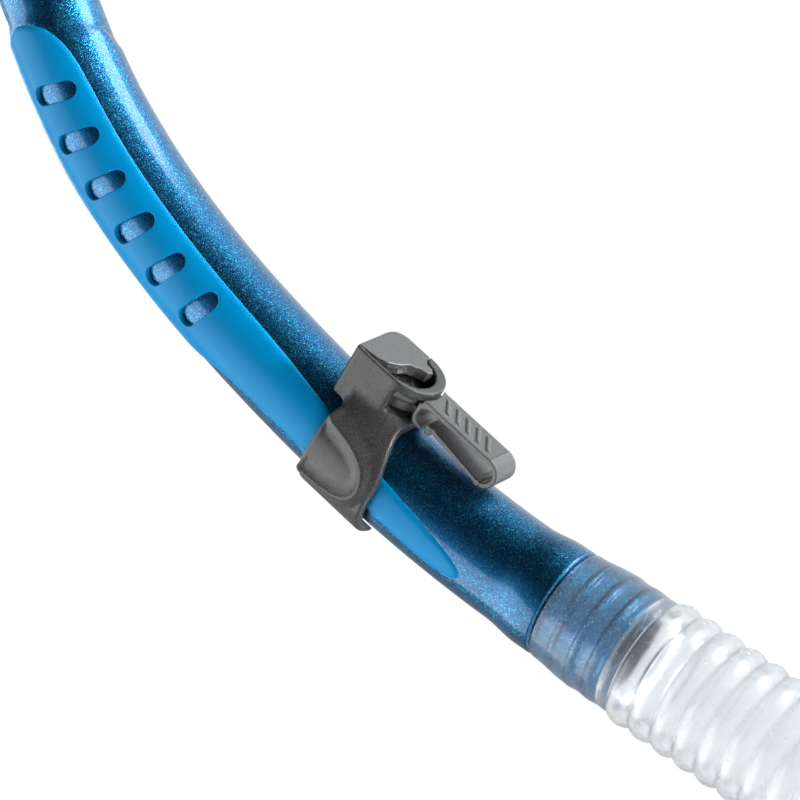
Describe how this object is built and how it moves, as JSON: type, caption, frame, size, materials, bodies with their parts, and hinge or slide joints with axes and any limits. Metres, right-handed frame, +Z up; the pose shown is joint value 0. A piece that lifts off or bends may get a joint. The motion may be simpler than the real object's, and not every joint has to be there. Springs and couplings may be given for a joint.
{
  "type": "snorkel",
  "caption": "Dry-top snorkel: curved barrel with an inlaid grip, turning mask-strap clip, corrugated hose, purge mouthpiece and float-valve top.",
  "frame": {"origin": "centre of the slot that the mask strap passes through, between the clip's loop and its gate", "axes": "+Z up the barrel along the object's length, +X towards the wearer's head, +Y across, the side that the mouthpiece points to"},
  "size_m": [0.0989, 0.0757, 0.4265],
  "materials": {
    "barrel_blue": "deep blue gloss plastic with fine metal flake",
    "inlay_blue": "satin cyan-blue moulded plastic",
    "clip_grey": "dark grey moulded plastic, fine grain, smoother at the rims",
    "silicone_clear": "frosted translucent silicone",
    "seal_rubber": "soft black silicone",
    "valve_white": "light moulded plastic",
    "steel": "stainless pin"
  },
  "bodies": {
    "barrel": {"barrel": "barrel_blue", "grip_inlay": "inlay_blue", "flex_hose": "silicone_clear", "top_collar": "clip_grey", "collar_seal": "seal_rubber", "top_cap": "barrel_blue", "valve_pin": "steel"},
    "clip": {"clip_body": "clip_grey", "swivel_pin": "steel"},
    "button": {"release_button": "clip_grey"},
    "loop": {"strap_loop": "clip_grey"},
    "gate": {"strap_gate": "clip_grey"},
    "rocker": {"valve_arm": "valve_white", "valve_seal": "seal_rubber", "valve_float": "valve_white"},
    "mouth": {"mouth_chamber": "barrel_blue", "mouthpiece": "silicone_clear", "mouthpiece_tie": "clip_grey", "purge_seat": "clip_grey", "purge_guard": "clip_grey"},
    "flap": {"purge_flap": "seal_rubber"}
  },
  "joints": [
    {"name": "clip_turn", "type": "hinge", "parent": "barrel", "child": "clip", "pos_m": [-0.01976, 0.00192, 0.01675], "axis": [0, 0, 1], "range_deg": [-30, 30]},
    {"name": "button_press", "type": "hinge", "parent": "clip", "child": "button", "pos_m": [0.00288, -0.00035, 0.02875], "axis": [0.1219, 0.9925, 0], "range_deg": [0, 5], "stiffness_Nm_per_rad": 0.1, "springref_deg": -1.15},
    {"name": "loop_swivel", "type": "hinge", "parent": "clip", "child": "loop", "pos_m": [-0.00184, 0.00022, 0.01935], "axis": [0.9925, -0.1219, 0], "range_deg": [-30, 30]},
    {"name": "gate_open", "type": "hinge", "parent": "loop", "child": "gate", "pos_m": [-0.00422, 0.00052, -0.00855], "axis": [0.1219, 0.9925, 0], "range_deg": [-9, 0], "stiffness_Nm_per_rad": 0.05, "springref_deg": 5.73},
    {"name": "valve_rock", "type": "hinge", "parent": "barrel", "child": "rocker", "pos_m": [0.0322, 0.00192, 0.21213], "axis": [0, 1, 0], "range_deg": [0, 22]},
    {"name": "hose_flex", "type": "hinge", "parent": "barrel", "child": "mouth", "pos_m": [-0.0054, 0.00192, -0.09568], "axis": [0, 1, 0], "range_deg": [-20, 20], "stiffness_Nm_per_rad": 0.1, "springref_deg": -1.66, "deforming": ["flex_hose"]},
    {"name": "purge_lift", "type": "slide", "parent": "mouth", "child": "flap", "axis": [0.165, 0, -0.9863], "range_m": [0, 0.0009], "stiffness_N_per_m": 50, "springref_m": -0.0003}
  ]
}
